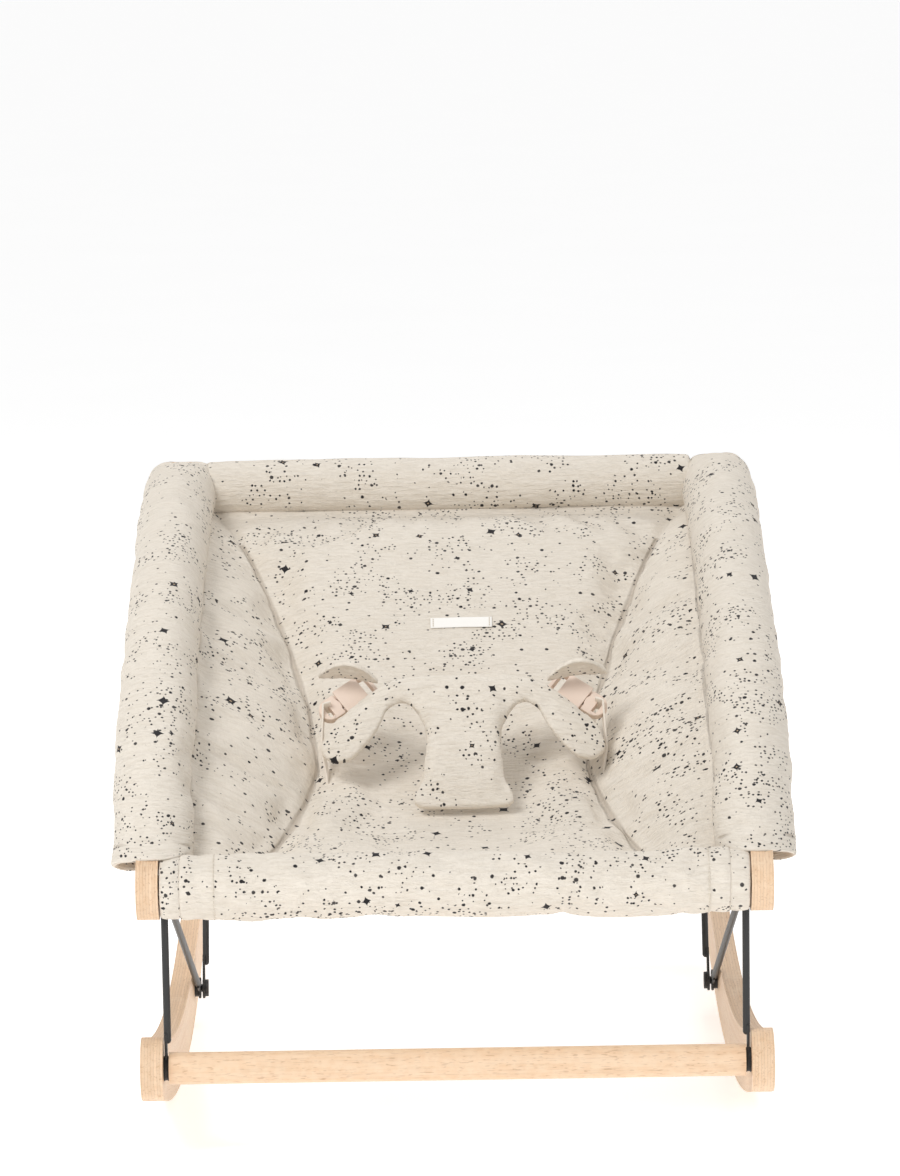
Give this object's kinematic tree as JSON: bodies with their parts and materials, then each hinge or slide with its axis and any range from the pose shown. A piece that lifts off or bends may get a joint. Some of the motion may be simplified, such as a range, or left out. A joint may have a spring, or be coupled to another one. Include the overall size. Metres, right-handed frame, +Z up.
{
  "type": "bouncer seat",
  "caption": "Low baby rocker: curved wooden runners, a seat frame on folding steel rods, and a padded fabric sling with side rolls and a T-shaped harness.",
  "frame": {"origin": "bottom centre of the whole object's box, on the floor", "axes": "+X across the seat, to the right as seen from the foot end, +Y from the foot end to the head end, +Z up"},
  "size_m": [0.465, 0.6729, 0.4244],
  "materials": {
    "beech": "laminated beech, satin, ply lines on the edges",
    "black_steel": "black satin powder coat",
    "printed_gauze": "crinkled cotton gauze, cream, with small black dots and stars",
    "webbing": "flat woven webbing",
    "woven_label": "blank woven strip",
    "buckle_plastic": "moulded, satin"
  },
  "bodies": {
    "base": {"base_rail_left": "beech", "base_rail_right": "beech", "base_front_bar": "beech", "base_rear_bar": "beech", "base_front_bolts": "black_steel", "base_rear_bolts": "black_steel", "base_washers": "black_steel", "rod_studs": "black_steel"},
    "front_links": {"front_link_left": "black_steel", "front_link_right": "black_steel"},
    "seat": {"seat_rail_left": "beech", "seat_rail_right": "beech", "seat_front_bar": "beech", "seat_rear_bar": "beech", "seat_front_bolts": "black_steel", "seat_rear_bolts": "black_steel", "seat_washers": "black_steel", "front_tube": "printed_gauze", "seat_sling": "printed_gauze", "head_roll": "printed_gauze", "side_bolster_left": "printed_gauze", "side_bolster_right": "printed_gauze", "harness_pad": "printed_gauze", "harness_flap_left": "printed_gauze", "harness_flap_right": "printed_gauze", "side_strap_left": "webbing", "side_strap_right": "webbing", "label": "woven_label", "buckle_housing_left": "buckle_plastic", "buckle_housing_right": "buckle_plastic"},
    "rear_struts": {"rear_strut_left": "black_steel", "rear_strut_right": "black_steel", "strut_knobs": "black_steel"},
    "braces": {"brace_left": "black_steel", "brace_right": "black_steel"},
    "tongue_left": {"buckle_tongue_left": "buckle_plastic"},
    "arm_left_low": {"buckle_arm_left_low": "buckle_plastic"},
    "arm_left_high": {"buckle_arm_left_high": "buckle_plastic"},
    "tongue_right": {"buckle_tongue_right": "buckle_plastic"},
    "arm_right_low": {"buckle_arm_right_low": "buckle_plastic"},
    "arm_right_high": {"buckle_arm_right_high": "buckle_plastic"}
  },
  "joints": [
    {"name": "fold", "type": "hinge", "parent": "base", "child": "front_links", "pos_m": [0, -0.31002, 0.06364], "axis": [-1, 0, 0], "range_deg": [0, 71.8]},
    {"name": "seat_turn", "type": "hinge", "parent": "front_links", "child": "seat", "pos_m": [0, -0.31398, 0.18958], "axis": [1, 0, 0], "range_deg": [0, 52.45]},
    {"name": "strut_fold", "type": "hinge", "parent": "seat", "child": "rear_struts", "pos_m": [0, 0.23902, 0.39524], "axis": [-1, 0, 0], "range_deg": [0, 36.54]},
    {"name": "brace_fold", "type": "hinge", "parent": "seat", "child": "braces", "pos_m": [0, -0.31398, 0.18958], "axis": [1, 0, 0], "range_deg": [0, 29.03]},
    {"name": "buckle_left_release", "type": "slide", "parent": "seat", "child": "tongue_left", "axis": [-0.809, -0.3505, -0.4719], "range_m": [0, 0.018]},
    {"name": "buckle_left_squeeze_low", "type": "slide", "parent": "tongue_left", "child": "arm_left_low", "axis": [-0.5878, 0.4824, 0.6495], "range_m": [0, 0.0015], "stiffness_N_per_m": 400},
    {"name": "buckle_left_squeeze_high", "type": "slide", "parent": "tongue_left", "child": "arm_left_high", "axis": [0.5878, -0.4824, -0.6495], "range_m": [0, 0.0015], "stiffness_N_per_m": 400},
    {"name": "buckle_right_release", "type": "slide", "parent": "seat", "child": "tongue_right", "axis": [0.809, -0.3505, -0.4719], "range_m": [0, 0.018]},
    {"name": "buckle_right_squeeze_low", "type": "slide", "parent": "tongue_right", "child": "arm_right_low", "axis": [0.5878, 0.4824, 0.6495], "range_m": [0, 0.0015], "stiffness_N_per_m": 400},
    {"name": "buckle_right_squeeze_high", "type": "slide", "parent": "tongue_right", "child": "arm_right_high", "axis": [-0.5878, -0.4824, -0.6495], "range_m": [0, 0.0015], "stiffness_N_per_m": 400}
  ],
  "couplings": [
    {"joint": "seat_turn", "follows": "fold", "ratio": 0.72981},
    {"joint": "strut_fold", "follows": "fold", "ratio": 0.50819},
    {"joint": "brace_fold", "follows": "fold", "ratio": 0.40368}
  ]
}
